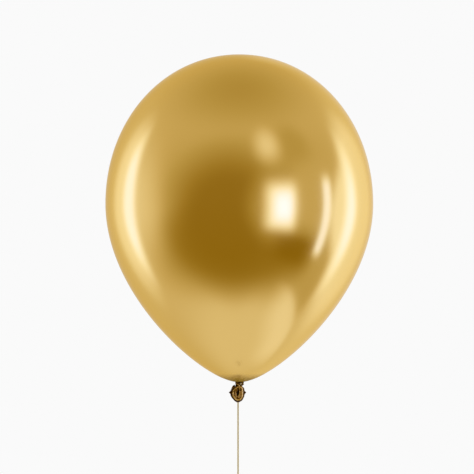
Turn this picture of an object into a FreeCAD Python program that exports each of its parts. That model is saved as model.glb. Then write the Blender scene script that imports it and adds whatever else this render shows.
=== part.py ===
import FreeCAD, Part
import math
import os

from FreeCAD import Matrix, Rotation, Vector

# Latex balloon on a string, in millimetres.
# The origin is where the neck leaves the envelope, +Z runs up the balloon's axis,
# and -Y is the side that the open mouth of the tied-off tail faces.

# Inflated envelope
ENVELOPE_RADIUS = 140.0
EQUATOR_HEIGHT = 186.0
CROWN_HEIGHT = 342.0
CROWN_FLATNESS = 80.0        # how far out the crown's curve stays level
SHOULDER_RISE = 87.0         # how far above the equator the side stays upright
FLANK_DROP = 98.0            # how far below the equator the side stays upright
FOOT_REACH = 35.5            # how far out the underside stays level
WALL = 0.3
NECK_HOLE_RADIUS = 3.2

# Gathered neck, below the envelope
WAIST_RADIUS = 2.2
WAIST_TOP = -0.5
NECK_END = -4.4

# String
STRING_RADIUS = 0.8
HITCH_TURNS = 2
HITCH_TOP_TURN = -1.1
HITCH_TURN_PITCH = 1.5       # a little under one diameter, so that the turns bed together
HITCH_RING_RADIUS = WAIST_RADIUS + STRING_RADIUS
HITCH_TAG_LENGTH = 3.3

# Overhand knot in the neck, a core with one strand wrapped over it
KNOT_CENTRE = Vector(0, 0, -6.8)
KNOT_CORE_RADIUS = 2.6
KNOT_WRAP_RADIUS = 2.7
KNOT_STRAND_RADIUS = 1.2
KNOT_WRAP_RISE = 1.0
KNOT_WRAP_TILT = 20.0

# Tail, below the knot: an egg-shaped sleeve whose mouth faces -Y
TAIL_CENTRE = Vector(-1.0, -1.8, -12.3)
TAIL_HALF_SIZE = Vector(7.9, 3.8, 9.2)
TAIL_MOUTH_Y = -4.6
TAIL_RECESS_HALF_SIZE = Vector(4.0, 2.8, 5.0)
TAIL_STUB_RADIUS = 1.9
TAIL_GAP = 0.1               # between the knot's core and the stub that bends on it
TAIL_KNOT_CLEARANCE = 4.3    # radius kept free for the knot's wrap
TAIL_SLOT_HALF_WIDTH = 4.3
EAR_HEIGHT = -11.4
EAR_LENGTH = 3.2
EAR_BASE_RADIUS = 1.6
EAR_TIP_RADIUS = 0.4
LIP_CENTRE = Vector(-1.0, -5.4, -12.1)
LIP_HALF_WIDTH = 4.7
LIP_HALF_HEIGHT = 6.35
LIP_BEAD_RADIUS = 1.0

# Swinging string: a hitch knot at the back and a little to the left, a straight run and a finger loop
HITCH_KNOT_CENTRE = Vector(-1.3, 5.6, -2.0)
HITCH_KNOT_RADIUS = 1.7
SWING_GAP = 0.1
LOOP_KNOT_CENTRE = Vector(-1.3, 5.6, -118.0)
LOOP_KNOT_RADIUS = 2.3
LOOP_ROUTE = [
    Vector(-2.5, 5.6, -120.2),
    Vector(-7.7, 5.6, -129.6),
    Vector(-12.9, 5.6, -141.0),
    Vector(-10.9, 5.6, -152.4),
    Vector(-0.9, 5.6, -157.0),
    Vector(8.9, 5.6, -151.6),
    Vector(9.9, 5.6, -140.4),
    Vector(4.9, 5.6, -129.2),
    Vector(-0.1, 5.6, -120.2),
]
ARC_SHARE = 0.45             # how much of the shorter run beside a route's point its arc takes
LOOP_TAG_LENGTH = 7.0

X_AXIS = Vector(1, 0, 0)
Y_AXIS = Vector(0, 1, 0)
Z_AXIS = Vector(0, 0, 1)
ORIGIN = Vector(0, 0, 0)


def save(name, shape):
    """Write one node, after checking that it is a single valid solid."""
    if len(shape.Solids) != 1 or not shape.isValid():
        raise ValueError(f"{name} is not one valid solid")
    solid = shape.Solids[0]
    solid.exportStep(f"parts/{name}.step")
    print(f"{name}: {solid.Volume:.1f} mm3")


def offset_polygon(poles, distance):
    """Move each leg of an outline's control polygon sideways, to its inner side."""
    legs = [(end - start).normalize() for start, end in zip(poles, poles[1:])]
    normals = [Vector(leg.z, 0, -leg.x) for leg in legs]
    moved = [poles[0] + normals[0] * distance]
    for pole, before, after in zip(poles[1:], normals, normals[1:]):
        shared = (before + after) * (distance / (1 + before.dot(after)))
        moved.append(pole + shared)
    moved.append(poles[-1] + normals[-1] * distance)
    return moved


def bezier(poles):
    curve = Part.BezierCurve()
    curve.setPoles(poles)
    return curve.toShape()


def line(start, end):
    return Part.LineSegment(start, end).toShape()


def revolve(edges):
    """Turn a closed outline in the XZ plane about the Z axis."""
    face = Part.Face(Part.Wire(edges))
    return face.revolve(ORIGIN, Z_AXIS, 360)


def ellipsoid(centre, half_size):
    """A sphere stretched to three half sizes."""
    stretch = Matrix()
    stretch.scale(half_size)
    shape = Part.makeSphere(1.0).transformGeometry(stretch)
    shape.translate(centre)
    return shape


def rod(start, direction, length, radius=STRING_RADIUS):
    return Part.makeCylinder(radius, length, start, direction)


def tube(wire, start, direction, radius=STRING_RADIUS):
    """Sweep a round section along a wire of tangent lines and arcs."""
    section = Part.Wire(Part.makeCircle(radius, start, direction))
    return wire.makePipeShell([section], True, True)


def make_envelope():
    crown = [
        Vector(0, 0, CROWN_HEIGHT),
        Vector(CROWN_FLATNESS, 0, CROWN_HEIGHT),
        Vector(ENVELOPE_RADIUS, 0, EQUATOR_HEIGHT + SHOULDER_RISE),
        Vector(ENVELOPE_RADIUS, 0, EQUATOR_HEIGHT),
    ]
    flank = [
        Vector(ENVELOPE_RADIUS, 0, EQUATOR_HEIGHT),
        Vector(ENVELOPE_RADIUS, 0, EQUATOR_HEIGHT - FLANK_DROP),
        Vector(FOOT_REACH, 0, 0),
        Vector(NECK_HOLE_RADIUS, 0, 0),
    ]
    inner_crown = offset_polygon(crown, WALL)
    inner_flank = offset_polygon(flank, WALL)
    return revolve([
        bezier(crown),
        bezier(flank),
        line(flank[-1], inner_flank[-1]),
        bezier(inner_flank),
        bezier(inner_crown),
        line(inner_crown[0], crown[0]),
    ])


def make_neck(knot):
    """A collar that plugs the envelope's hole, then a narrow waist down to the knot."""
    top = Vector(0, 0, WALL)
    collar_top = Vector(NECK_HOLE_RADIUS, 0, WALL)
    collar_edge = Vector(NECK_HOLE_RADIUS, 0, 0)
    waist_top = Vector(WAIST_RADIUS, 0, WAIST_TOP)
    waist_end = Vector(WAIST_RADIUS, 0, NECK_END)
    end = Vector(0, 0, NECK_END)
    corners = [top, collar_top, collar_edge, waist_top, waist_end, end, top]
    neck = revolve([line(a, b) for a, b in zip(corners, corners[1:])])
    return neck.cut(knot)


def make_knot():
    core = Part.makeSphere(KNOT_CORE_RADIUS, KNOT_CENTRE)
    wrap = Part.makeTorus(KNOT_WRAP_RADIUS, KNOT_STRAND_RADIUS)
    wrap.Placement.Rotation = Rotation(Y_AXIS, KNOT_WRAP_TILT)
    wrap.translate(KNOT_CENTRE + Z_AXIS * KNOT_WRAP_RISE)
    return core.fuse(wrap)


def make_hitch(neck):
    turns = []
    for turn in range(HITCH_TURNS):
        height = HITCH_TOP_TURN - turn * HITCH_TURN_PITCH
        turns.append(Part.makeTorus(HITCH_RING_RADIUS, STRING_RADIUS, Vector(0, 0, height)))
    return turns[0].fuse(turns[1:]).cut(neck)


def make_hitch_tag(hitch):
    """The short end of the hitch, pressed out to the side from its last turn."""
    last_turn = HITCH_TOP_TURN - (HITCH_TURNS - 1) * HITCH_TURN_PITCH
    start = Vector(HITCH_RING_RADIUS * 0.7, HITCH_RING_RADIUS * 0.7, last_turn)
    return rod(start, Vector(0.93, 0.05, -0.36), HITCH_TAG_LENGTH).cut(hitch)


def make_ear(side):
    """A corner where the flattened sleeve folds, on the left (-1) or right (+1)."""
    root = Vector(TAIL_CENTRE.x + side * (TAIL_HALF_SIZE.x - 1.6), TAIL_CENTRE.y, EAR_HEIGHT)
    return Part.makeCone(EAR_BASE_RADIUS, EAR_TIP_RADIUS, EAR_LENGTH, root, X_AXIS * side)


def make_tail():
    egg = ellipsoid(TAIL_CENTRE, TAIL_HALF_SIZE)
    deep = TAIL_HALF_SIZE.y
    front = Part.makeBox(4 * deep, deep, 8 * deep)
    front.translate(Vector(TAIL_CENTRE.x - 2 * deep, TAIL_MOUTH_Y - deep, TAIL_CENTRE.z - 4 * deep))
    recess_centre = Vector(TAIL_CENTRE.x, TAIL_MOUTH_Y, LIP_CENTRE.z)
    recess = ellipsoid(recess_centre, TAIL_RECESS_HALF_SIZE)
    slot_start = KNOT_CENTRE - X_AXIS * TAIL_SLOT_HALF_WIDTH
    slot = rod(slot_start, X_AXIS, 2 * TAIL_SLOT_HALF_WIDTH, TAIL_KNOT_CLEARANCE)
    above_knot = Part.makeBox(2 * TAIL_SLOT_HALF_WIDTH, 4 * deep, TAIL_HALF_SIZE.z)
    above_knot.translate(slot_start - Y_AXIS * 2 * deep)
    knot_room = slot.fuse(above_knot).removeSplitter()
    sleeve = egg.cut([front, recess, knot_room])

    stub_length = TAIL_KNOT_CLEARANCE + 2.0
    stub = rod(KNOT_CENTRE, -Z_AXIS, stub_length, TAIL_STUB_RADIUS)
    stub = stub.cut(Part.makeSphere(KNOT_CORE_RADIUS + TAIL_GAP, KNOT_CENTRE))
    return sleeve.fuse([stub, make_ear(-1), make_ear(1)])


def make_lip():
    """The rolled bead round the tail's mouth, flat where it lies on the tail's front."""
    oval = Part.Ellipse(LIP_CENTRE + Z_AXIS * LIP_HALF_HEIGHT, LIP_CENTRE + X_AXIS * LIP_HALF_WIDTH, LIP_CENTRE)
    path = Part.Wire(oval.toShape())
    bead = tube(path, LIP_CENTRE + Z_AXIS * LIP_HALF_HEIGHT, X_AXIS, LIP_BEAD_RADIUS)
    behind_front = Part.makeBox(4 * LIP_HALF_HEIGHT, LIP_HALF_HEIGHT, 4 * LIP_HALF_HEIGHT)
    corner = LIP_CENTRE - (X_AXIS + Z_AXIS) * 2 * LIP_HALF_HEIGHT
    behind_front.translate(Vector(corner.x, TAIL_MOUTH_Y, corner.z))
    return bead.cut(behind_front)


def make_string(loop_knot):
    start = HITCH_KNOT_CENTRE - Z_AXIS * (HITCH_KNOT_RADIUS + SWING_GAP)
    return rod(start, -Z_AXIS, start.z - LOOP_KNOT_CENTRE.z).cut(loop_knot)


def route_wire(points):
    """Straight runs joined by tangent arcs, each as large as its two runs allow."""
    edges = []
    reached = points[0]
    for before, corner, after in zip(points, points[1:], points[2:]):
        arriving = (corner - before).normalize()
        leaving = (after - corner).normalize()
        half_turn = arriving.getAngle(leaving) / 2
        reach = ARC_SHARE * min((corner - before).Length, (after - corner).Length)
        radius = reach / math.tan(half_turn)
        print(f"finger loop: arc radius {radius:.1f} mm")
        start = corner - arriving * reach
        end = corner + leaving * reach
        inward = (leaving - arriving).normalize()
        middle = corner + inward * radius * (1 / math.cos(half_turn) - 1)
        edges += [line(reached, start), Part.Arc(start, middle, end).toShape()]
        reached = end
    edges.append(line(reached, points[-1]))
    return Part.Wire(edges)


def make_finger_loop():
    """A hanging teardrop, from the loop's knot and back to it."""
    path = route_wire(LOOP_ROUTE)
    loop = tube(path, LOOP_ROUTE[0], LOOP_ROUTE[1] - LOOP_ROUTE[0])
    section_area = math.pi * STRING_RADIUS ** 2
    print(f"finger loop: cord {path.Length:.1f} mm")
    print(f"finger loop: volume over section times length {loop.Volume / (section_area * path.Length):.4f}")
    return loop


def make_loop_tag(loop_knot):
    return rod(LOOP_KNOT_CENTRE, Vector(0.35, -0.85, -0.39), LOOP_KNOT_RADIUS + LOOP_TAG_LENGTH).cut(loop_knot)


os.makedirs("parts", exist_ok=True)

neck_knot = make_knot()
neck = make_neck(neck_knot)
string_hitch = make_hitch(neck)
loop_knot = Part.makeSphere(LOOP_KNOT_RADIUS, LOOP_KNOT_CENTRE)

save("envelope", make_envelope())
save("neck", neck)
save("neck_knot", neck_knot)
save("tail", make_tail())
save("rolled_lip", make_lip())
save("string_hitch", string_hitch)
save("hitch_tag", make_hitch_tag(string_hitch))
save("hitch_knot", Part.makeSphere(HITCH_KNOT_RADIUS, HITCH_KNOT_CENTRE))
save("string", make_string(loop_knot))
save("loop_knot", loop_knot)
save("finger_loop", make_finger_loop())
save("loop_tag", make_loop_tag(loop_knot))
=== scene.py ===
"""The looks of a knotted metallic latex balloon on a string, built round its CAD frame.

Lengths are metres in the CAD frame: +Z runs up the balloon's axis, the origin is where the
neck leaves the envelope, and -Y is the front.
"""

import math

import bpy
from mathutils import Matrix, Vector, noise


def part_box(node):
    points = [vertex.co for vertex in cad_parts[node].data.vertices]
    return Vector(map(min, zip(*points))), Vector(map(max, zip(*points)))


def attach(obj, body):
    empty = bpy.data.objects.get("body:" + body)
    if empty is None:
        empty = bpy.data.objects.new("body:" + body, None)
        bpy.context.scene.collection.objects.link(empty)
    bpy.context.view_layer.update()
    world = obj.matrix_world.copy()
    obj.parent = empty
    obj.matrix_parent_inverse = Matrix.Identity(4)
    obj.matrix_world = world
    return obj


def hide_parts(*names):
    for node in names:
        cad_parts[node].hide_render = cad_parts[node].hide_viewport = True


MM = 0.001
TAU = 2 * math.pi

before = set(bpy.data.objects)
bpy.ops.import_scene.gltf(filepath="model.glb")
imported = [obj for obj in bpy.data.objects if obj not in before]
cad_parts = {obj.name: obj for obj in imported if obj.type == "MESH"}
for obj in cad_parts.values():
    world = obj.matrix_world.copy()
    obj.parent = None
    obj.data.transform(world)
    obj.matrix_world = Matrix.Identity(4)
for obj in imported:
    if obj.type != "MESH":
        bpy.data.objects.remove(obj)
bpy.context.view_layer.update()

ENVELOPE_LOW, ENVELOPE_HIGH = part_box("envelope")
HITCH_KNOT_LOW, HITCH_KNOT_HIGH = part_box("hitch_knot")
LOOP_KNOT_LOW, LOOP_KNOT_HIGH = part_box("loop_knot")

ENVELOPE_RADIUS = (ENVELOPE_HIGH.x - ENVELOPE_LOW.x) / 2
CROWN_HEIGHT = ENVELOPE_HIGH.z
EQUATOR_HEIGHT = 186 * MM
NECK_RADIUS = 3.2 * MM
KNOT_CENTRE = Vector((0, 0, -6.8)) * MM
HITCH_KNOT_CENTRE = (HITCH_KNOT_LOW + HITCH_KNOT_HIGH) / 2
LOOP_KNOT_CENTRE = (LOOP_KNOT_LOW + LOOP_KNOT_HIGH) / 2


# ---------------------------------------------------------------- node trees

class Graph:
    """A node tree with short calls for the nodes that this script uses."""

    def __init__(self, tree):
        self.tree = tree
        tree.nodes.clear()

    def feed(self, socket, value):
        """Link a node's output to a socket, or set the socket to a plain value."""
        if isinstance(value, bpy.types.NodeSocket):
            self.tree.links.new(value, socket)
        else:
            socket.default_value = value

    def add(self, kind, inputs=(), **settings):
        """A new node with some of its settings and inputs."""
        node = self.tree.nodes.new(kind)
        for name, value in settings.items():
            setattr(node, name, value)
        for name, value in dict(inputs).items():
            self.feed(node.inputs[name], value)
        return node

    def math(self, operation, *values, clamp=False):
        """The result of one sum on values or on other nodes' outputs."""
        node = self.add("ShaderNodeMath", operation=operation, use_clamp=clamp)
        for socket, value in zip(node.inputs, values):
            self.feed(socket, value)
        return node.outputs[0]

    def dot(self, vector, fixed):
        """How far a vector reaches along a fixed one."""
        node = self.add("ShaderNodeVectorMath", operation="DOT_PRODUCT")
        self.feed(node.inputs[0], vector)
        self.feed(node.inputs[1], fixed)
        return node.outputs["Value"]

    def fade(self, value, start, end, at_start=0.0, at_end=1.0):
        """A smooth step from at_start to at_end as value goes from start to end."""
        sockets = {"Value": value, "From Min": start, "From Max": end, "To Min": at_start, "To Max": at_end}
        return self.add("ShaderNodeMapRange", sockets, interpolation_type="SMOOTHSTEP").outputs["Result"]

    def mix(self, share, low, high):
        """low where share is 0, and high where it is 1."""
        sockets = {"Factor": share, "A": low, "B": high}
        return self.add("ShaderNodeMix", sockets).outputs["Result"]

    def ramp(self, value, stops):
        """The colour at value along stops of (place, colour)."""
        node = self.add("ShaderNodeValToRGB", {"Fac": value})
        elements = node.color_ramp.elements
        while len(elements) < len(stops):
            elements.new(0.5)
        for element, (place, colour) in zip(elements, stops):
            element.position = place
            element.color = (*colour, 1)
        return node.outputs["Color"]


COLOUR_A, COLOUR_B = 6, 7        # where a mix node keeps its two colours among its inputs
COLOUR_RESULT = 2                # and the mixed one among its outputs


def mix_colour(graph, share, low, high):
    """The colour low where share is 0, and high where it is 1."""
    node = graph.add("ShaderNodeMix", data_type="RGBA")
    graph.feed(node.inputs["Factor"], share)
    graph.feed(node.inputs[COLOUR_A], low)
    graph.feed(node.inputs[COLOUR_B], high)
    return node.outputs[COLOUR_RESULT]


# ---------------------------------------------------------------- studio

BACKDROP = 0.956                 # how bright the plain backdrop is, in all three colours
BRIGHTEST_LEVEL = 2.0
FLOOR_LEVELS = (0.715, 0.63)     # straight down, then where the floor meets the walls
CEILING_LEVELS = (0.62, 0.415)   # where the walls meet the ceiling, then straight up
HORIZON_BLEND = 0.2              # radians up and down from the horizon
# The level of light, and the colour that comes from there: amber where the room is dim, white in its lamps.
ROOM_COLOURS = [
    (0.00, (0.10, 0.050, 0.001)),
    (0.25, (0.314, 0.205, 0.010)),
    (0.33, (0.415, 0.305, 0.061)),
    (0.46, (0.570, 0.480, 0.230)),
    (0.58, (0.720, 0.640, 0.440)),
    (0.72, (0.890, 0.860, 0.800)),
    (0.87, (1.070, 1.100, 1.280)),
    (1.00, (1.230, 1.350, 1.750)),
    (1.12, (1.320, 1.550, 2.600)),
    (1.30, (1.450, 1.800, 4.800)),
    (2.00, (2.500, 2.900, 6.000)),
]

# Directions are in degrees: azimuth 0 is the front, -Y, and 90 is the right, +X.
# Each wall's left, right, lower and upper edges, as (place, softness), then the level of light there.
ROOM_WALLS = [
    ("left_wall", (-140, 25), (-78, 16), (-22, 20), (22, 20), 0.76),
    ("right_rear_wall", (120, 20), (172, 14), (-48, 12), (28, 18), 0.74),
    ("right_of_window", (50, 8), (110, 8), (-19, 10), (22, 9), 0.54),
    ("pale_floor", (66, 22), (146, 18), (-70, 10), (-51, 2.5), 0.84),
    ("right_wall_foot", (78, 12), (110, 9), (-51, 2.5), (-27, 6), 0.50),
    ("floor_shadow", (34, 14), (72, 14), (-40, 6), (-24, 4), 0.24),
    ("rear_window", (166, 4), (177, 3), (-16, 6), (34, 6), 0.70),
]
# Each lamp's azimuth, elevation, half width and half height, its softness as a share of its size,
# then its level of light. The shadows and the dim glow round the window are given in the same way.
ROOM_LAMPS = [
    ("left_lamp", -117, -1, 17, 31, 0.38, 0.92),
    ("left_lamp_middle", -109, -1, 8, 28, 0.45, 1.18),
    ("right_wall", 122, -5, 27, 35, 0.24, 0.89),
    ("right_wall_middle", 100, -5, 14, 19, 0.3, 0.93),
    ("right_lamp", 111, -6, 8, 26, 0.7, 1.20),
    ("ceiling_lamp", 28, 38, 11, 10, 0.85, 0.80),
]
ROOM_SHADOWS = [
    ("upper_wall", 8, 22, 98, 26, 0.45, 0.51),
    ("camera_side_floor", 4, -32, 84, 29, 0.42, 0.31),
    ("camera_side", -8, -12, 52, 45, 0.45, 0.265),
    ("window_glow", 34, -3, 24, 24, 0.5, 0.45),
    ("above_window", 54, 34, 17, 14, 0.6, 0.45),
]
ROOM_WINDOWS = [
    ("strip", (76, 1.6), (84.5, 2.2), (-30.5, 3), (13, 4), 1.17),
    ("window", (22.5, 7), (49.5, 6), (-20, 5), (12, 7), 1.06),
    ("window_middle", (30, 6), (46, 5), (-14, 7), (7, 7), 1.30),
]


def wall(graph, azimuth, elevation, left, right, low, high):
    """1 inside a soft-edged rectangle of directions, and 0 outside it."""
    share = 1.0
    for angle, (place, softness), inside in (
            (azimuth, left, 1.0), (azimuth, right, 0.0), (elevation, low, 1.0), (elevation, high, 0.0)):
        start, end = math.radians(place - softness), math.radians(place + softness)
        share = graph.math("MULTIPLY", share, graph.fade(angle, start, end, 1 - inside, inside))
    return share


def lamp(graph, azimuth, elevation, across, up, half_width, half_height, softness):
    """1 inside a soft-edged ellipse of directions, and 0 outside it."""
    squares = []
    for angle, centre, half in ((azimuth, across, half_width), (elevation, up, half_height)):
        offset = graph.math("SUBTRACT", angle, math.radians(centre))
        offset = graph.math("DIVIDE", offset, math.radians(half))
        squares.append(graph.math("MULTIPLY", offset, offset))
    radius = graph.math("SQRT", graph.math("ADD", *squares))
    return graph.fade(radius, 1 - softness, 1 + softness, 1.0, 0.0)


def room_level(graph, azimuth, elevation):
    """How much light comes from each direction of the room: later things lie over earlier ones."""
    low = graph.fade(elevation, math.radians(-75), math.radians(-40), *FLOOR_LEVELS)
    high = graph.fade(elevation, math.radians(20), math.radians(90), *CEILING_LEVELS)
    level = graph.mix(graph.fade(elevation, -HORIZON_BLEND, HORIZON_BLEND), low, high)
    layers = ((lamp, ROOM_SHADOWS), (wall, ROOM_WALLS), (lamp, ROOM_LAMPS), (wall, ROOM_WINDOWS))
    for shape, things in layers:
        for _name, *place, value in things:
            level = graph.mix(shape(graph, azimuth, elevation, *place), level, value)
    return level


def make_studio():
    """A pale room that shiny skin mirrors; to everything else it is a plain pale backdrop."""
    world = bpy.data.worlds.new("studio")
    bpy.context.scene.world = world
    world.use_nodes = True
    graph = Graph(world.node_tree)
    way = graph.add("ShaderNodeTexCoord").outputs["Generated"]
    azimuth = graph.math("ARCTAN2", graph.dot(way, Vector((1, 0, 0))), graph.dot(way, Vector((0, -1, 0))))
    elevation = graph.math("ARCSINE", graph.dot(way, Vector((0, 0, 1))))
    level = room_level(graph, azimuth, elevation)
    stops = [(place / BRIGHTEST_LEVEL, colour) for place, colour in ROOM_COLOURS]
    room = graph.ramp(graph.math("DIVIDE", level, BRIGHTEST_LEVEL), stops)
    rays = graph.add("ShaderNodeLightPath")
    plain = (BACKDROP, BACKDROP, BACKDROP, 1)
    seen = mix_colour(graph, rays.outputs["Is Glossy Ray"], plain, room)
    background = graph.add("ShaderNodeBackground", {"Color": seen, "Strength": 1.0})
    graph.add("ShaderNodeOutputWorld", {"Surface": background.outputs["Background"]})


# ---------------------------------------------------------------- camera

FRAME_WIDTH = 496.1 * MM         # what the picture takes in, side to side, at the balloon's axis
FRAME_CENTRE = Vector((-2.4, 0, 151.2)) * MM
CAMERA_LENS = 180.0
SENSOR_WIDTH = 36.0


def make_camera():
    """A long lens straight in front, level with the middle of the frame."""
    data = bpy.data.cameras.new("camera")
    data.lens = CAMERA_LENS
    data.sensor_width = SENSOR_WIDTH
    data.clip_end = 100.0
    camera = bpy.data.objects.new("camera", data)
    bpy.context.scene.collection.objects.link(camera)
    distance = FRAME_WIDTH * CAMERA_LENS / SENSOR_WIDTH
    camera.location = FRAME_CENTRE - Vector((0, distance, 0))
    camera.rotation_euler = (math.pi / 2, 0, 0)
    bpy.context.scene.camera = camera


# ---------------------------------------------------------------- meshes

def add_mesh(name, verts, faces, material, body, replaced):
    """A smooth-shaded piece that rides on a CAD body and stands for a CAD node."""
    mesh = bpy.data.meshes.new(name)
    mesh.from_pydata([tuple(v) for v in verts], [], faces)
    mesh.update()
    mesh.polygons.foreach_set("use_smooth", [True] * len(mesh.polygons))
    mesh.materials.append(material)
    piece = bpy.data.objects.new(name, mesh)
    bpy.context.scene.collection.objects.link(piece)
    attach(piece, body)
    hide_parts(replaced)
    return piece


def skin(rings, closed_ends=(False, False)):
    """Faces between equal rings of points; a closed end is drawn together to one point."""
    count = len(rings[0])
    verts = [v for ring in rings for v in ring]
    faces = []
    for row in range(len(rings) - 1):
        for i in range(count):
            j = (i + 1) % count
            faces.append((row * count + i, row * count + j, (row + 1) * count + j, (row + 1) * count + i))
    last = (len(rings) - 1) * count
    if closed_ends[0]:
        tip = len(verts)
        verts.append(sum(rings[0], Vector()) / count)
        faces += [(tip, (i + 1) % count, i) for i in range(count)]
    if closed_ends[1]:
        tip = len(verts)
        verts.append(sum(rings[-1], Vector()) / count)
        faces += [(tip, last + i, last + (i + 1) % count) for i in range(count)]
    return verts, faces


def bezier_point(poles, t):
    """A point of a cubic Bezier curve with four poles in the plane."""
    s = 1 - t
    weights = (s ** 3, 3 * s * s * t, 3 * s * t * t, t ** 3)
    return sum((pole * weight for pole, weight in zip(poles, weights)), Vector((0, 0)))


def smooth_noise(point, scale):
    """Perlin noise from -1 to 1 with features about scale metres across."""
    return noise.noise(Vector(point) / scale)


def gather(angle, seed=0.0):
    """Irregular pleats round the neck: about -1 in a crease and +1 on a fold."""
    wander = noise.noise(Vector((math.cos(angle) * 1.3, math.sin(angle) * 1.3, seed))) * 2.2
    fold = abs(math.sin(8.5 * angle + wander + seed))
    fine = math.sin(31 * angle + 3 * wander)
    return 1.7 * fold ** 0.7 - 1.0 + 0.18 * fine


# ---------------------------------------------------------------- materials

def new_material(name):
    """A material, its node tree and its shader."""
    material = bpy.data.materials.new(name)
    material.use_nodes = True
    graph = Graph(material.node_tree)
    shader = graph.add("ShaderNodeBsdfPrincipled")
    graph.add("ShaderNodeOutputMaterial", {"Surface": shader.outputs["BSDF"]})
    return material, graph, shader


def set_inputs(shader, values):
    """Set some of a shader's inputs to plain values."""
    for name, value in values.items():
        shader.inputs[name].default_value = value


def noise_node(graph, place, scale, detail=2.0, roughness=0.5):
    """Noise from 0 to 1 at a place in the object's own metres."""
    sockets = {"Vector": place, "Scale": scale, "Detail": detail, "Roughness": roughness}
    return graph.add("ShaderNodeTexNoise", sockets).outputs["Fac"]


def bump(graph, shader, height, depth, strength=1.0):
    """Fine relief, depth metres deep where height goes from 0 to 1."""
    node = graph.add("ShaderNodeBump", {"Height": height, "Distance": depth, "Strength": strength})
    graph.feed(shader.inputs["Normal"], node.outputs["Normal"])


TINT_LOW = -1.0 * MM             # the height where the skin is darkest, and the one where it is plain again
TINT_HIGH = 11.0 * MM


def make_stretched_latex():
    """The inflated skin: metallic pigment in stretched rubber, thicker and duller near the neck, where its
    colour is also darkened with painted shade.
    """
    material, graph, shader = new_material("stretched_latex")
    place = graph.add("ShaderNodeTexCoord").outputs["Object"]
    height = graph.add("ShaderNodeSeparateXYZ", {"Vector": place}).outputs["Z"]
    mottle = noise_node(graph, place, 900.0, 3.0)
    thin = (0.80, 0.56, 0.19, 1)
    thinner = (0.83, 0.59, 0.21, 1)
    # thick is the colour near the neck: deeper for the thicker rubber, and darker still as painted shade
    # where the envelope funnels into the neck.
    thick = (0.42, 0.26, 0.015, 1)
    gold = mix_colour(graph, mottle, thin, thinner)
    near_neck = graph.fade(height, TINT_LOW, TINT_HIGH, 1.0, 0.0)
    patches = graph.fade(noise_node(graph, place, 600.0, 3.0), 0.3, 0.7, 0.5, 1.5)
    # thickness carries both the thicker rubber and the painted shade near the neck.
    thickness = graph.math("MULTIPLY", near_neck, patches, clamp=True)
    graph.feed(shader.inputs["Base Color"], mix_colour(graph, thickness, gold, thick))
    cloud = graph.fade(noise_node(graph, place, 14.0, 2.0), 0.2, 0.8, 0.15, 0.175)
    dull = graph.math("MULTIPLY", near_neck, 0.85)
    graph.feed(shader.inputs["Roughness"], graph.math("ADD", cloud, dull))
    pigment_lost = graph.math("MULTIPLY", near_neck, 0.25)
    graph.feed(shader.inputs["Metallic"], graph.math("SUBTRACT", 1.0, pigment_lost))
    amber_edge = (0.92, 0.78, 0.48, 1)
    set_inputs(shader, {"Specular Tint": amber_edge, "Coat Weight": 0.12, "Coat Roughness": 0.05})
    bump(graph, shader, mottle, 0.004 * MM)
    return material


def make_gathered_latex():
    """Unstretched rubber at the neck, knot and tail: thicker, deeper in colour and wrinkled, with painted
    light and shade from its stored tone.
    """
    material, graph, shader = new_material("gathered_latex")
    place = graph.add("ShaderNodeTexCoord").outputs["Object"]
    tone = graph.add("ShaderNodeAttribute", attribute_name="tone").outputs["Fac"]
    patches = graph.fade(noise_node(graph, place, 700.0, 4.0), 0.3, 0.7, 0.75, 1.25)
    shine = graph.math("MULTIPLY", tone, patches)
    # Low tone is near black, painted shade in folds, hollows and on shaded sides; high tone is the rubber's
    # bright gold, with painted light.
    stops = [
        (0.00, (0.035, 0.012, 0.002)),
        (0.18, (0.13, 0.062, 0.010)),
        (0.45, (0.42, 0.24, 0.050)),
        (0.80, (0.72, 0.48, 0.170)),
        (1.00, (0.84, 0.60, 0.260)),
    ]
    graph.feed(shader.inputs["Base Color"], graph.ramp(shine, stops))
    graph.feed(shader.inputs["Roughness"], graph.fade(shine, 0.1, 0.8, 0.42, 0.24))
    set_inputs(shader, {"Metallic": 1.0, "Specular Tint": (0.85, 0.62, 0.28, 1), "Coat Weight": 0.08})
    creases = noise_node(graph, place, 2200.0, 4.0, 0.6)
    bump(graph, shader, creases, 0.05 * MM, 0.6)
    return material


def make_cord_material():
    """Gold-coloured yarn, a little shiny and finely mottled."""
    material, graph, shader = new_material("gold_cord")
    place = graph.add("ShaderNodeTexCoord").outputs["Object"]
    mottle = noise_node(graph, place, 6000.0, 3.0)
    tone = noise_node(graph, place, 300.0, 2.0)
    pale = (0.64, 0.53, 0.27, 1)
    deep = (0.45, 0.35, 0.15, 1)
    straw = mix_colour(graph, mottle, deep, pale)
    worn = graph.math("MULTIPLY", tone, 0.35)
    graph.feed(shader.inputs["Base Color"], mix_colour(graph, worn, straw, pale))
    graph.feed(shader.inputs["Roughness"], graph.fade(mottle, 0.2, 0.8, 0.62, 0.45))
    set_inputs(shader, {"Metallic": 0.1, "Sheen Weight": 0.2, "Sheen Roughness": 0.4})
    bump(graph, shader, mottle, 0.04 * MM)
    return material


# ---------------------------------------------------------------- envelope

ENVELOPE_SEGMENTS = 288
CROWN_ROWS = 70
FLANK_ROWS = 150
CROWN_REACH = 80 * MM            # the crown's and the flank's Bezier poles
CROWN_RISE = 87 * MM
FLANK_DROP = 98 * MM
FOOT_REACH = 35.5 * MM
CROWDING = 1.4                   # how much closer the rows lie near the neck
PLEAT_DEPTH = 0.5 * MM
PLEAT_REACH = 5.0 * MM


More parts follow.
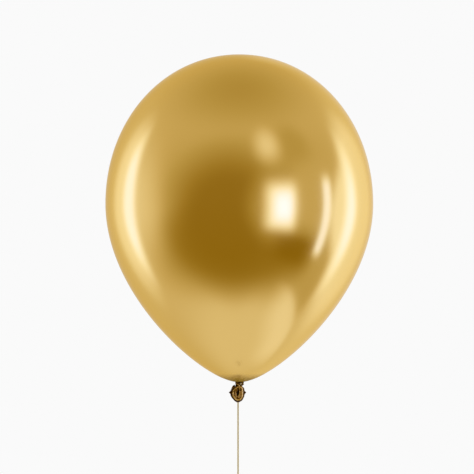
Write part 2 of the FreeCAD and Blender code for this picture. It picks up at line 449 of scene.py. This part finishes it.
def envelope_outline():
    """(radius, height) from the crown to the neck."""
    crown = [
        Vector((0, CROWN_HEIGHT)),
        Vector((CROWN_REACH, CROWN_HEIGHT)),
        Vector((ENVELOPE_RADIUS, EQUATOR_HEIGHT + CROWN_RISE)),
        Vector((ENVELOPE_RADIUS, EQUATOR_HEIGHT)),
    ]
    flank = [
        Vector((ENVELOPE_RADIUS, EQUATOR_HEIGHT)),
        Vector((ENVELOPE_RADIUS, EQUATOR_HEIGHT - FLANK_DROP)),
        Vector((FOOT_REACH, 0)),
        Vector((NECK_RADIUS, 0)),
    ]
    points = [bezier_point(crown, (i + 1) / CROWN_ROWS) for i in range(CROWN_ROWS)]
    for i in range(FLANK_ROWS):
        share = (i + 1) / FLANK_ROWS
        points.append(bezier_point(flank, 1 - (1 - share) ** CROWDING))
    return points


def make_envelope(material):
    """The inflated skin, with shallow pleats that run out from the neck."""
    rings = []
    for radius, height in envelope_outline():
        reach = max(radius - NECK_RADIUS, 0) / PLEAT_REACH
        depth = PLEAT_DEPTH * math.exp(-reach ** 1.3) if height < EQUATOR_HEIGHT else 0.0
        ring = []
        for i in range(ENVELOPE_SEGMENTS):
            angle = TAU * i / ENVELOPE_SEGMENTS
            push = depth * gather(angle)
            ring.append(Vector((radius * math.cos(angle), radius * math.sin(angle), height - push)))
        rings.append(ring)
    verts, faces = skin(rings)
    faces = [tuple(reversed(face)) for face in faces]
    tip = len(verts)
    verts.append(Vector((0, 0, CROWN_HEIGHT)))
    faces += [(tip, i, (i + 1) % ENVELOPE_SEGMENTS) for i in range(ENVELOPE_SEGMENTS)]
    add_mesh("envelope_skin", verts, faces, material, "balloon", "envelope")


# ---------------------------------------------------------------- cord

PLY_COUNT = 3
PLY_RADIUS = 0.45 * MM
PLY_OFFSET = 0.43 * MM
LAY_LENGTH = 4.6 * MM            # along the cord, for one whole turn of a ply
LUMP_LENGTH = 1.5 * MM           # along a ply, from one slight swelling to the next
FRAY_LENGTH = 1.6 * MM
PLY_SIDES = 10
LINE_STEP = 0.2 * MM


def spline_line(name, route, step=0.25 * MM):
    """Evenly spaced points along the smooth line of a cord whose route is given."""
    data = bpy.data.curves.new(name, "CURVE")
    data.dimensions = "3D"
    data.resolution_u = 48
    spline = data.splines.new("NURBS")
    spline.points.add(len(route) - 1)
    for spot, point in zip(spline.points, route):
        spot.co = (*point, 1)
    spline.order_u = 3
    spline.use_endpoint_u = True
    holder = bpy.data.objects.new(name, data)
    mesh = bpy.data.meshes.new_from_object(holder)
    line = [vertex.co.copy() for vertex in mesh.vertices]
    bpy.data.objects.remove(holder)
    return evenly(line, step)


def evenly(line, step):
    """The same line with its points a step apart."""
    lengths = [0.0]
    for before, after in zip(line, line[1:]):
        lengths.append(lengths[-1] + (after - before).length)
    count = max(2, round(lengths[-1] / step))
    points, leg = [], 0
    for i in range(count + 1):
        reach = lengths[-1] * i / count
        while leg < len(line) - 2 and lengths[leg + 1] < reach:
            leg += 1
        share = (reach - lengths[leg]) / max(lengths[leg + 1] - lengths[leg], 1e-12)
        points.append(line[leg].lerp(line[leg + 1], min(max(share, 0), 1)))
    return points


def frames_along(line):
    """(point, side, up) at each point, turned as little as possible from one to the next."""
    ways = []
    for i in range(len(line)):
        before, after = line[max(i - 1, 0)], line[min(i + 1, len(line) - 1)]
        ways.append((after - before).normalized())
    side = ways[0].orthogonal().normalized()
    frames = []
    for point, way in zip(line, ways):
        side = (side - way * side.dot(way)).normalized()
        frames.append((point, side, way.cross(side)))
    return frames


def tube_rings(line, radius_at, sides=PLY_SIDES):
    """Rings round a line; radius_at(share of the length, angle) gives the radius."""
    rings = []
    for row, (point, side, up) in enumerate(frames_along(line)):
        share = row / (len(line) - 1)
        ring = []
        for i in range(sides):
            angle = TAU * i / sides
            reach = radius_at(share, angle)
            ring.append(point + side * math.cos(angle) * reach + up * math.sin(angle) * reach)
        rings.append(ring)
    return rings


def join_skins(skins):
    """One list of vertices and faces from several."""
    verts, faces = [], []
    for part_verts, part_faces in skins:
        offset = len(verts)
        verts += part_verts
        faces += [tuple(offset + index for index in face) for face in part_faces]
    return verts, faces


def twisted_cord(line, fray=0.0):
    """Plies laid round a line; fray is how far they open out at the line's far end."""
    travelled = [0.0]
    for before, after in zip(line, line[1:]):
        travelled.append(travelled[-1] + (after - before).length)
    frames = frames_along(line)
    skins = []
    for ply in range(PLY_COUNT):
        strand = []
        for (point, side, up), reach in zip(frames, travelled):
            angle = TAU * (reach / LAY_LENGTH + ply / PLY_COUNT)
            opening = fray * max(0.0, 1 - (travelled[-1] - reach) / FRAY_LENGTH) ** 2
            offset = PLY_OFFSET + opening
            strand.append(point + (side * math.cos(angle) + up * math.sin(angle)) * offset)

        def radius_at(share, angle, ply=ply):
            lump = noise.noise(Vector((share * travelled[-1] / LUMP_LENGTH, 5.0 + ply, angle)))
            return PLY_RADIUS * (1 + 0.05 * lump)

        skins.append(skin(tube_rings(strand, radius_at), (True, True)))
    return join_skins(skins)


TREFOIL_STEPS = 120
TREFOIL_LEAN = 78                # degrees, from lying flat to nearly upright


def knotted_line(centre, size, turn):
    """An overhand knot's line, drawn tight: a trefoil about a centre, turned by some degrees."""
    tilt = Matrix.Rotation(math.radians(TREFOIL_LEAN), 3, "X") @ Matrix.Rotation(math.radians(turn), 3, "Z")
    line = []
    for i in range(TREFOIL_STEPS + 1):
        t = TAU * i / TREFOIL_STEPS
        x = math.sin(t) + 2 * math.sin(2 * t)
        y = math.cos(t) - 2 * math.cos(2 * t)
        z = -1.25 * math.sin(3 * t)
        line.append(centre + tilt @ (Vector((x, y, z)) * size))
    return evenly(line, LINE_STEP)


STRING_ROUTE = [
    Vector((-1.3, 5.6, -3.6)) * MM,
    Vector((-1.3, 5.6, -58.0)) * MM,
    Vector((-1.3, 5.6, -116.4)) * MM,
]
LOOP_ROUTE = [
    Vector((-2.0, 5.6, -119.1)) * MM,
    Vector((-7.7, 5.6, -129.6)) * MM,
    Vector((-12.9, 5.6, -141.0)) * MM,
    Vector((-10.9, 5.6, -152.4)) * MM,
    Vector((-0.9, 5.6, -157.0)) * MM,
    Vector((8.9, 5.6, -151.6)) * MM,
    Vector((9.9, 5.6, -140.4)) * MM,
    Vector((4.9, 5.6, -129.2)) * MM,
    Vector((-0.6, 5.6, -119.1)) * MM,
]
TAG_ROUTE = [
    Vector((-1.1, 5.0, -118.4)) * MM,
    Vector((-0.4, 2.6, -118.6)) * MM,
    Vector((0.9, 0.2, -119.8)) * MM,
    Vector((1.9, -2.0, -121.4)) * MM,
]
TAG_FRAY = 0.5 * MM
HITCH_KNOT_SIZE = 0.36 * MM
LOOP_KNOT_SIZE = 0.54 * MM


def add_cord(name, line, material, body, replaced, fray=0.0):
    """A piece of twisted cord that stands for a CAD node."""
    verts, faces = twisted_cord(line, fray)
    return add_mesh(name, verts, faces, material, body, replaced)


def make_string(material):
    """The hanging string with its knots, and the finger loop at its end."""
    hitch_line = knotted_line(HITCH_KNOT_CENTRE, HITCH_KNOT_SIZE, 25)
    add_cord("hitch_knot_cord", hitch_line, material, "hitch_knot", "hitch_knot")

    loop_knot_line = knotted_line(LOOP_KNOT_CENTRE, LOOP_KNOT_SIZE, 60)
    loop_knot = add_cord("loop_knot_cord", loop_knot_line, material, "string", "loop_knot")
    tag_line = spline_line("tag_route", TAG_ROUTE)
    tag = add_cord("loop_tag_cord", tag_line, material, "string", "loop_tag", TAG_FRAY)
    line = spline_line("string_route", STRING_ROUTE)
    string = add_cord("hanging_string", line, material, "string", "string")
    string.visible_glossy = False    # the skin above it shows no mirror image of it

    loop_line = spline_line("loop_route", LOOP_ROUTE)
    loop = add_cord("finger_loop_cord", loop_line, material, "finger_loop", "finger_loop")


HITCH_STEPS = 96
HITCH_RADIUS = 3.0 * MM
HITCH_TOP = -1.0 * MM
HITCH_DROP = 1.725 * MM          # from the first turn's start to the last one's end
HITCH_START = 118                # degrees, anticlockwise from +X
HITCH_SWEEP = 690
HITCH_FIRST_END = Vector((-2.3, 4.5, -1.3)) * MM
HITCH_LAST_END = Vector((-0.3, 4.6, -2.9)) * MM
HITCH_TAG_ROUTE = [
    Vector((1.7, 2.5, -2.6)) * MM,
    Vector((2.7, 2.6, -2.6)) * MM,
    Vector((3.5, 2.7, -3.0)) * MM,
    Vector((4.2, 2.7, -3.7)) * MM,
]
HITCH_TAG_FRAY = 0.35 * MM


def make_hitch(material):
    """Two turns tight round the neck, whose ends run back into the hitch knot, and the short cut end."""
    line = [HITCH_FIRST_END]
    for i in range(HITCH_STEPS + 1):
        share = i / HITCH_STEPS
        angle = math.radians(HITCH_START + HITCH_SWEEP * share)
        height = HITCH_TOP - HITCH_DROP * share
        line.append(Vector((HITCH_RADIUS * math.cos(angle), HITCH_RADIUS * math.sin(angle), height)))
    line.append(HITCH_LAST_END)
    add_cord("hitch_cord", evenly(line, LINE_STEP), material, "balloon", "string_hitch")
    tag_line = spline_line("hitch_tag_route", HITCH_TAG_ROUTE)
    add_cord("hitch_tag_cord", tag_line, material, "balloon", "hitch_tag", HITCH_TAG_FRAY)


# ---------------------------------------------------------------- shaping gathered latex

def bell(angle, centre, width):
    """1 at a compass angle and falling off to both sides of it, in degrees."""
    offset = (angle - centre + 180) % 360 - 180
    return math.exp(-(offset / width) ** 2)


def compass(x, y):
    """Degrees round the vertical axis: 0 at the front, -Y, and 90 at the right, +X."""
    return math.degrees(math.atan2(x, -y))


def step_between(value, start, end):
    """0 before start, 1 after end, and smooth in between."""
    share = min(max((value - start) / (end - start), 0.0), 1.0)
    return share * share * (3 - 2 * share)


def shade_by(piece, tone_of):
    """Store each vertex's tone, from 0 in deep folds to 1 on thin tight beads: painted shade where it is low
    and painted light where it is high, over the rubber's own colour.
    """
    mesh = piece.data
    tones = mesh.attributes.new("tone", "FLOAT", "POINT")
    for spot, vertex in zip(tones.data, mesh.vertices):
        spot.value = min(max(tone_of(vertex.co), 0.0), 1.0)


def melt(piece, voxel, smoothing):
    """Join a piece's overlapping skins into one smooth skin."""
    remesh = piece.modifiers.new("one_skin", "REMESH")
    remesh.mode = "VOXEL"
    remesh.voxel_size = voxel
    remesh.use_smooth_shade = True
    smooth = piece.modifiers.new("ease", "SMOOTH")
    smooth.iterations = smoothing
    smooth.factor = 0.5
    bpy.context.view_layer.update()
    shape = piece.evaluated_get(bpy.context.evaluated_depsgraph_get())
    melted = bpy.data.meshes.new_from_object(shape)
    material = piece.data.materials[0]
    piece.modifiers.clear()
    piece.data = melted
    if not melted.materials:
        melted.materials.append(material)
    melted.polygons.foreach_set("use_smooth", [True] * len(melted.polygons))


# ---------------------------------------------------------------- neck

NECK_SEGMENTS = 240
NECK_ROWS = 60
NECK_PLEAT = 0.26                # mm
# Height, then the radius where the rubber lies under the string and where it bulges over it (mm).
NECK_PROFILE = [
    (0.25, 3.3, 3.3), (0.0, 3.6, 3.8), (-0.35, 3.5, 4.1), (-0.8, 3.2, 4.25),
    (-1.4, 2.9, 4.2), (-2.0, 2.6, 4.15), (-2.6, 2.4, 4.05), (-3.1, 2.4, 3.7),
    (-3.6, 2.5, 3.1), (-4.2, 2.7, 2.7), (-4.8, 3.0, 3.0),
]


def lobe(heading, height):
    """The fold of rubber that hangs down over the string at the right, in millimetres outwards."""
    tall = step_between(-height, 0.1, 0.9) * (1 - step_between(-height, 3.3, 4.3))
    return bell(heading, 80, 14) * tall * (0.7 + 0.8 * step_between(-height, 2.4, 3.4))


def neck_cover(heading, height):
    """How far, from 0 to 1, the neck bulges over the string, which shows at the back and the front right."""
    front_gap = bell(heading, 30, 12) * step_between(-height, 1.2, 1.9)
    return max(0.0, 1 - front_gap - bell(heading, 180, 62))


def make_neck(material):
    """The gathered neck, pleated, which hides most of the string that is tied round it."""
    rings = []
    for row in range(NECK_ROWS + 1):
        place = row / NECK_ROWS * (len(NECK_PROFILE) - 1)
        leg = min(int(place), len(NECK_PROFILE) - 2)
        values_around = zip(NECK_PROFILE[leg], NECK_PROFILE[leg + 1])
        height, slim, full = (above + (below - above) * (place - leg) for above, below in values_around)
        ring = []
        for i in range(NECK_SEGMENTS):
            angle = TAU * i / NECK_SEGMENTS
            heading = compass(math.cos(angle), math.sin(angle))
            reach = slim + (full - slim) * neck_cover(heading, height)
            reach += NECK_PLEAT * gather(angle + 0.05 * height) + lobe(heading, height)
            ring.append(Vector((reach * math.cos(angle), reach * math.sin(angle), height)) * MM)
        rings.append(ring)
    verts, faces = skin(rings, (True, True))
    neck = add_mesh("neck_pleats", verts, faces, material, "balloon", "neck")
    # Low tone keeps the neck dark: painted shade under the envelope, over the gathered rubber's deep colour.
    shade_by(neck, lambda co: 0.12 + 0.25 * smooth_noise(co, 0.8 * MM))


# ---------------------------------------------------------------- neck knot

# Each strand's compass heading round the knot, radius and height (degrees, millimetres).
WRAP_STATIONS = [
    (-150, 1.6, -2.2), (-100, 2.2, -2.2), (-62, 3.0, -2.2), (-36, 3.8, -2.4), (-13, 3.6, -3.4),
    (8, 3.2, -4.7), (32, 3.1, -5.7), (70, 3.1, -6.4), (110, 3.1, -6.8), (150, 3.1, -7.2),
    (195, 3.1, -7.3), (240, 3.0, -7.5), (280, 2.8, -8.0), (320, 2.3, -8.6), (350, 1.6, -9.0),
]
UNDER_STATIONS = [
    (40, 1.5, -4.2), (85, 2.4, -4.6), (130, 3.0, -5.0), (175, 3.2, -5.4),
    (215, 3.1, -5.9), (255, 3.1, -6.6), (295, 2.9, -7.6), (330, 2.2, -8.6),
]
LEFT_STATIONS = [
    (-50, 1.8, -2.8), (-75, 2.7, -3.4), (-92, 3.0, -4.4),
    (-105, 3.0, -5.6), (-120, 2.6, -6.8), (-130, 1.8, -7.6),
]
# Name, stations and thickness (mm).
KNOT_STRANDS = [
    ("wrap", WRAP_STATIONS, 0.75),
    ("under", UNDER_STATIONS, 1.0),
    ("left", LEFT_STATIONS, 1.15),
]
STRAND_STEP = 0.15 * MM
STRAND_SEGMENTS = 40
CORE_RADIUS = 2.9                # mm
CORE_ROWS = 24
CORE_SEGMENTS = 96
KNOT_VOXEL = 0.13 * MM
KNOT_SMOOTHING = 3


def station_line(stations):
    """Points in metres from a strand's stations."""
    points = []
    for heading, radius, height in stations:
        a = math.radians(heading)
        points.append(Vector((radius * math.sin(a), -radius * math.cos(a), height)) * MM)
    return points


def strand_skin(name, stations, thickness):
    """One strand of the knot, creased along its length and thinner at its ends."""
    line = spline_line(name + "_route", station_line(stations), STRAND_STEP)

    def radius_at(share, angle):
        ends = min(1.0, 6 * share + 0.35, 6 * (1 - share) + 0.35)
        creases = 0.10 * math.sin(5 * angle + 9 * share) + 0.06 * math.sin(11 * angle - 5 * share)
        return thickness * MM * ends * (1 + creases)

    return skin(tube_rings(line, radius_at, STRAND_SEGMENTS), (True, True))


def core_skin():
    """The pleated ball of rubber that the strands wrap."""
    rings = []
    for row in range(1, CORE_ROWS):
        down = math.pi * row / CORE_ROWS
        ring = []
        for i in range(CORE_SEGMENTS):
            angle = TAU * i / CORE_SEGMENTS
            reach = CORE_RADIUS + 0.14 * gather(angle + down) + 0.2 * math.cos(2 * down)
            flat = reach * math.sin(down)
            offset = Vector((flat * math.cos(angle), flat * math.sin(angle), reach * math.cos(down)))
            ring.append(KNOT_CENTRE + offset * MM)
        rings.append(ring)
    return skin(rings, (True, True))


def make_knot(material):
    """The neck's overhand knot: a core with strands of rubber wrapped over it, drawn together."""
    skins = [strand_skin(*strand) for strand in KNOT_STRANDS]
    skins.append(core_skin())
    verts, faces = join_skins(skins)
    knot = add_mesh("knot_folds", verts, faces, material, "balloon", "neck_knot")
    melt(knot, KNOT_VOXEL, KNOT_SMOOTHING)

    # The knot's low tone is painted shade under the envelope and in its folds, with painted light on its
    # upper front and painted shade on its left side.
    def tone_of(co):
        front = step_between(-co.y / MM, 2.6, 3.6) * step_between(co.z / MM, -6.5, -5.0)
        left = step_between(-co.x / MM, 2.4, 3.4)
        return 0.30 + 0.3 * smooth_noise(co, 0.9 * MM) + 0.5 * front * (1 - left) - 0.15 * left

    shade_by(knot, tone_of)


# ---------------------------------------------------------------- tail

# The tail is drawn in millimetres in the XZ plane, with directions in degrees from +X towards +Z.
SLEEVE_CENTRE = Vector((-1.9, -11.9))
SLEEVE_HALF_WIDTH = 7.6
SLEEVE_RISE = 9.2                # from the centre up to the outline's top, and down to its bottom
SLEEVE_FALL = 10.0
SLEEVE_SEGMENTS = 240
SLEEVE_STEPS = 4                 # rings from one station to the next
LIP_MIDDLE = Vector((-1.65, -11.9))
LIP_REACH = Vector((4.75, 6.75))
SLEEVE_TOP = -5.3                # where the sleeve ends in front of the knot, behind the lip
KNOT_ROOM = 4.3
SLIT_MIDDLE = Vector((-1.2, -10.0))
SLIT_REACH = Vector((0.55, 4.3))
MOUTH_ROWS = 26
# How far out (share of the outline), depth y (mm), how much of the lip's outline and of the ears
# it has, and its tone, kept low for the outer sleeve's deep colour and painted shade, darkest just behind
# the lip.
SLEEVE_STATIONS = [
    (0.20, 1.1, 0.0, 0.0, 0.10),
    (0.50, 1.9, 0.0, 0.0, 0.14),
    (0.80, 1.4, 0.0, 0.1, 0.16),
    (0.94, 0.1, 0.0, 0.3, 0.14),
    (1.00, -1.4, 0.0, 0.8, 0.11),
    (0.985, -2.4, 0.0, 1.0, 0.07),
    (0.93, -3.5, 0.1, 0.4, 0.05),
    (0.90, -4.3, 0.6, 0.1, 0.04),
    (0.94, -4.8, 1.0, 0.0, 0.10),
]


def superellipse(way, across, tall, power):
    """The radius in a direction of an oval that grows squarer as its power goes up from 2."""
    a = math.radians(way)
    return (abs(math.cos(a) / across) ** power + abs(math.sin(a) / tall) ** power) ** (-1 / power)


def sleeve_outline(way):
    """The radius of the flattened sleeve, with two shallow hollows at its left."""
    upper = math.sin(math.radians(way)) > 0
    power, tall = (2.35, SLEEVE_RISE) if upper else (1.95, SLEEVE_FALL)
    reach = superellipse(way, SLEEVE_HALF_WIDTH, tall, power)
    return reach - 0.6 * bell(way, 145, 20) - 0.9 * bell(way, 238, 26)


def lip_outline(way):
    """The radius of the rolled lip's middle line, pressed flat at its upper left."""
    reach = superellipse(way, LIP_REACH.x, LIP_REACH.y, 2.5) * (1 - 0.19 * bell(way, 122, 30))
    return reach + 0.8 * bell(way, 62, 24) - 0.7 * bell(way, 238, 22)


def lip_thickness(way):
    """The radius of the lip's bead, which is thinnest at its upper left."""
    return 0.90 - 0.28 * bell(way, 130, 45) - 0.12 * bell(way, 205, 30)


def ears(way):
    """How far the sleeve's two pinched corners stick out."""
    return 1.5 * bell(way, 176, 7) + 1.6 * bell(way, 3, 7)


def tail_point(middle, reach, way, depth):
    """A point of the tail in a direction from a middle, at a depth y."""
    a = math.radians(way)
    return Vector((middle.x + reach * math.cos(a), depth, middle.y + reach * math.sin(a)))


def slit_point(size, way, depth):
    """A point on the slit's edge, or at a share of its size."""
    a = math.radians(way)
    across, up = size * SLIT_REACH.x * math.cos(a), size * SLIT_REACH.y * math.sin(a)
    return Vector((SLIT_MIDDLE.x + across, depth, SLIT_MIDDLE.y + up))


def between(stations, steps):
    """The stations with others between them on a Catmull-Rom curve, so many steps to each gap."""
    last = len(stations) - 1
    filled = []
    for leg in range(last):
        around = [stations[min(max(leg + k, 0), last)] for k in (-1, 0, 1, 2)]
        for step in range(steps):
            t = step / steps
            weights = (
                -0.5 * t + t ** 2 - 0.5 * t ** 3,
                1 - 2.5 * t ** 2 + 1.5 * t ** 3,
                0.5 * t + 2 * t ** 2 - 1.5 * t ** 3,
                -0.5 * t ** 2 + 0.5 * t ** 3,
            )
            filled.append([sum(w * v for w, v in zip(weights, values)) for values in zip(*around)])
    filled.append(list(stations[last]))
    return filled


def clear_of_knot(point):
    """Keep a point of the sleeve out of the room that the knot needs when the tail bends."""
    beside = min(max((abs(point.x) - 4.0) / 1.6, 0.0), 1.0)    # 0 in front of the knot, 1 past its side
    if beside >= 1:
        return point
    height = min(point.z, SLEEVE_TOP + 4 * beside)
    rise = height - KNOT_CENTRE.z / MM
    if rise < -KNOT_ROOM:
        return point
    front = -KNOT_ROOM if rise > 0 else -math.sqrt(KNOT_ROOM ** 2 - rise ** 2)
    front -= 0.5 * step_between(rise, -2.0, 1.0)
    return Vector((point.x, min(point.y, front + 6 * beside), height))


def lean(z):
    """How far the lip's top leans forwards, clear of the knot when the tail bends."""
    return 0.7 * step_between(z, -11.0, -6.0)


def mouth_fold(x, z):
    """How far the rubber inside the mouth stands out, in long folds from top to bottom."""
    broad = noise.noise(Vector((x / 1.1, 4.0, z / 4.5)))
    fine = noise.noise(Vector((x / 0.45, 9.0, z / 1.6)))
    return 0.55 * broad + 0.16 * fine


def mouth_tone(x, z, share):
    """Painted light on the folds beside the slit and a painted highlight along a strip near its bottom;
    painted shade in the slit, in the small hollow at its right, at its left and next to the lip.
    """
    hollow = math.exp(-((x - 1.35) / 0.5) ** 2 - ((z + 8.6) / 1.5) ** 2)
    strip = math.exp(-((x - 0.25) / 0.5) ** 2) * step_between(z, -17.0, -15.0)
    speckle = noise.noise(Vector((x / 0.8, 2.0, z / 1.1)))
    left = math.exp(-((x + 3.0) / 0.7) ** 2 - ((z + 10.5) / 2.5) ** 2)
    tone = 0.44 + 0.22 * mouth_fold(x, z) + 0.22 * speckle + 0.22 * strip - 0.55 * hollow - 0.2 * left
    slit = 1 - 0.85 * step_between(share, 0.80, 1.0)
    return tone * slit * (0.45 + 0.55 * step_between(share, 0.02, 0.16))


TAIL_WAYS = [360 * i / SLEEVE_SEGMENTS for i in range(SLEEVE_SEGMENTS)]


def sleeve_rings():
    """The sleeve from its closed back, over its pinched edge, to the lip: (points, tone) for each ring."""
    rings = []
    for out, depth, lip_share, ear_share, tone in between(SLEEVE_STATIONS, SLEEVE_STEPS):
        middle = SLEEVE_CENTRE.lerp(LIP_MIDDLE, lip_share)
        ring = []
        for way in TAIL_WAYS:
            reach = sleeve_outline(way) + ear_share * ears(way)
            reach += (lip_outline(way) + 0.3 - reach) * lip_share
            fold = gather(math.radians(way), 3.0)
            pleat = 0.16 * fold * min(1.0, 2.2 * out)
            point = tail_point(middle, reach * out * (1 + 0.018 * fold), way, depth + pleat)
            point.y -= lip_share * lean(point.z)
            ring.append(clear_of_knot(point) if lip_share < 0.9 else point)
        # The tone, painted shade on the sleeve, rises a little towards its top.
        rings.append((ring, [tone + 0.08 * step_between(point.z, -8.0, -6.0) for point in ring]))
    return rings


def mouth_rings():
    """The inside of the mouth, from the lip to the slit and down into it: (points, tone) for each ring."""
    rings = []
    for row in range(MOUTH_ROWS + 1):
        share = row / MOUTH_ROWS
        swell = 0.5 * math.exp(-((share - 0.10) / 0.08) ** 2)
        depth = -4.9 + swell + 1.9 * step_between(share, 0.80, 1.0)
        ring = []
        for way in TAIL_WAYS:
            outer = tail_point(LIP_MIDDLE, lip_outline(way) - 0.3, way, depth)
            inner = slit_point(1.0, way, depth)
            inner.x += 0.3 * math.sin(0.55 * (inner.z + 11))
            point = outer.lerp(inner, share)
            point.y -= mouth_fold(point.x, point.z) * step_between(share, 0.0, 0.2) + lean(point.z)
            ring.append(point)
        rings.append((ring, [mouth_tone(point.x, point.z, share) for point in ring]))
    # The rings deep in the slit get a low tone: painted shade.
    for size, depth in ((0.8, -2.4), (0.5, -1.6)):
        rings.append(([slit_point(size, way, depth) for way in TAIL_WAYS], [0.08] * SLEEVE_SEGMENTS))
    return rings


def make_tail(material):
    """The flattened sleeve below the knot, whose mouth faces the front and closes to a slit."""
    rings, tones = [], []
    for points, ring_tones in sleeve_rings() + mouth_rings():
        rings.append([point * MM for point in points])
        for point, tone in zip(points, ring_tones):
            grain = 0.12 * noise.noise(point / 0.7)
            tones.append(min(max(tone + grain, 0.0), 1.0))
    verts, faces = skin(rings, (True, True))
    tail = add_mesh("tail_sleeve", verts, faces, material, "tail", "tail")
    store = tail.data.attributes.new("tone", "FLOAT", "POINT")
    store.data.foreach_set("value", tones + [0.0, 0.0])


LIP_SEGMENTS = 260
BEAD_SIDES = 28
LIP_DEPTH = -5.4


def make_lip(material):
    """The rolled bead round the mouth, with the edge of its roll wandering along it."""
    forward = Vector((0, -1, 0))
    rings = []
    for row in range(LIP_SEGMENTS):
        way = 360 * row / LIP_SEGMENTS
        a = math.radians(way)
        middle = tail_point(LIP_MIDDLE, lip_outline(way), way, LIP_DEPTH + 0.12 * math.sin(3 * a))
        middle.y -= lean(middle.z)
        outward = Vector((math.cos(a), 0, math.sin(a)))
        wander = noise.noise(Vector((2 * math.cos(a), 2 * math.sin(a), 7.0)))
        thick = lip_thickness(way) * (1 + 0.12 * wander + 0.03 * math.sin(14 * a + 3 * wander))
        ring = []
        for i in range(BEAD_SIDES):
            b = TAU * i / BEAD_SIDES
            roll = (b - 0.9 - 0.5 * wander + math.pi) % TAU - math.pi
            groove = 0.16 * math.exp(-(roll / 0.22) ** 2)
            offset = (outward * math.cos(b) + forward * math.sin(b)) * thick * (1 - groove)
            ring.append((middle + offset) * MM)
        rings.append(ring)
    verts, faces = skin(rings + rings[:1])
    verts = verts[:-BEAD_SIDES]
    faces = [tuple(index % len(verts) for index in face) for face in faces]
    lip = add_mesh("lip_bead", verts, faces, material, "tail", "rolled_lip")

    # Painted shade darkens the bead's upper left.
    def tone_of(co):
        left = step_between(-co.x / MM, 1.0, 5.5) * step_between(co.z / MM, -17.0, -12.0)
        return 0.85 - 0.30 * left + 0.30 * smooth_noise(co, 1.2 * MM)

    shade_by(lip, tone_of)


# ---------------------------------------------------------------- floor

FLOOR_HEIGHT = -0.35
FLOOR_RADIUS = 2.4
FLOOR_ROWS = 24
FLOOR_SEGMENTS = 96


def make_floor():
    """A pale round floor well below the balloon, which thins out towards its edge."""
    rings = []
    for row in range(1, FLOOR_ROWS + 1):
        radius = FLOOR_RADIUS * row / FLOOR_ROWS
        angles = [TAU * i / FLOOR_SEGMENTS for i in range(FLOOR_SEGMENTS)]
        rings.append([Vector((radius * math.cos(a), radius * math.sin(a), FLOOR_HEIGHT)) for a in angles])
    verts, faces = skin(rings, (True, False))
    mesh = bpy.data.meshes.new("floor")
    mesh.from_pydata([tuple(v) for v in verts], [], faces)
    material, graph, shader = new_material("pale_floor")
    place = graph.add("ShaderNodeTexCoord").outputs["Object"]
    out = graph.add("ShaderNodeVectorMath", {0: place}, operation="LENGTH").outputs["Value"]
    graph.feed(shader.inputs["Alpha"], graph.fade(out, 0.5 * FLOOR_RADIUS, 0.98 * FLOOR_RADIUS, 1.0, 0.0))
    grain = noise_node(graph, place, 60.0, 3.0)
    floor_tone = mix_colour(graph, grain, (0.93, 0.93, 0.925, 1), (0.96, 0.96, 0.955, 1))
    graph.feed(shader.inputs["Base Color"], floor_tone)
    set_inputs(shader, {"Roughness": 0.9})
    mesh.materials.append(material)
    floor = bpy.data.objects.new("floor", mesh)
    floor.visible_glossy = False     # shiny skin mirrors the room's own pale floor instead
    bpy.context.scene.collection.objects.link(floor)


# ---------------------------------------------------------------- assembly

make_camera()
gold_cord = make_cord_material()
make_string(gold_cord)
make_hitch(gold_cord)

gathered_latex = make_gathered_latex()
make_envelope(make_stretched_latex())
make_neck(gathered_latex)
make_knot(gathered_latex)
make_tail(gathered_latex)
make_lip(gathered_latex)

make_studio()
make_floor()
bpy.context.scene.view_settings.view_transform = "Standard"
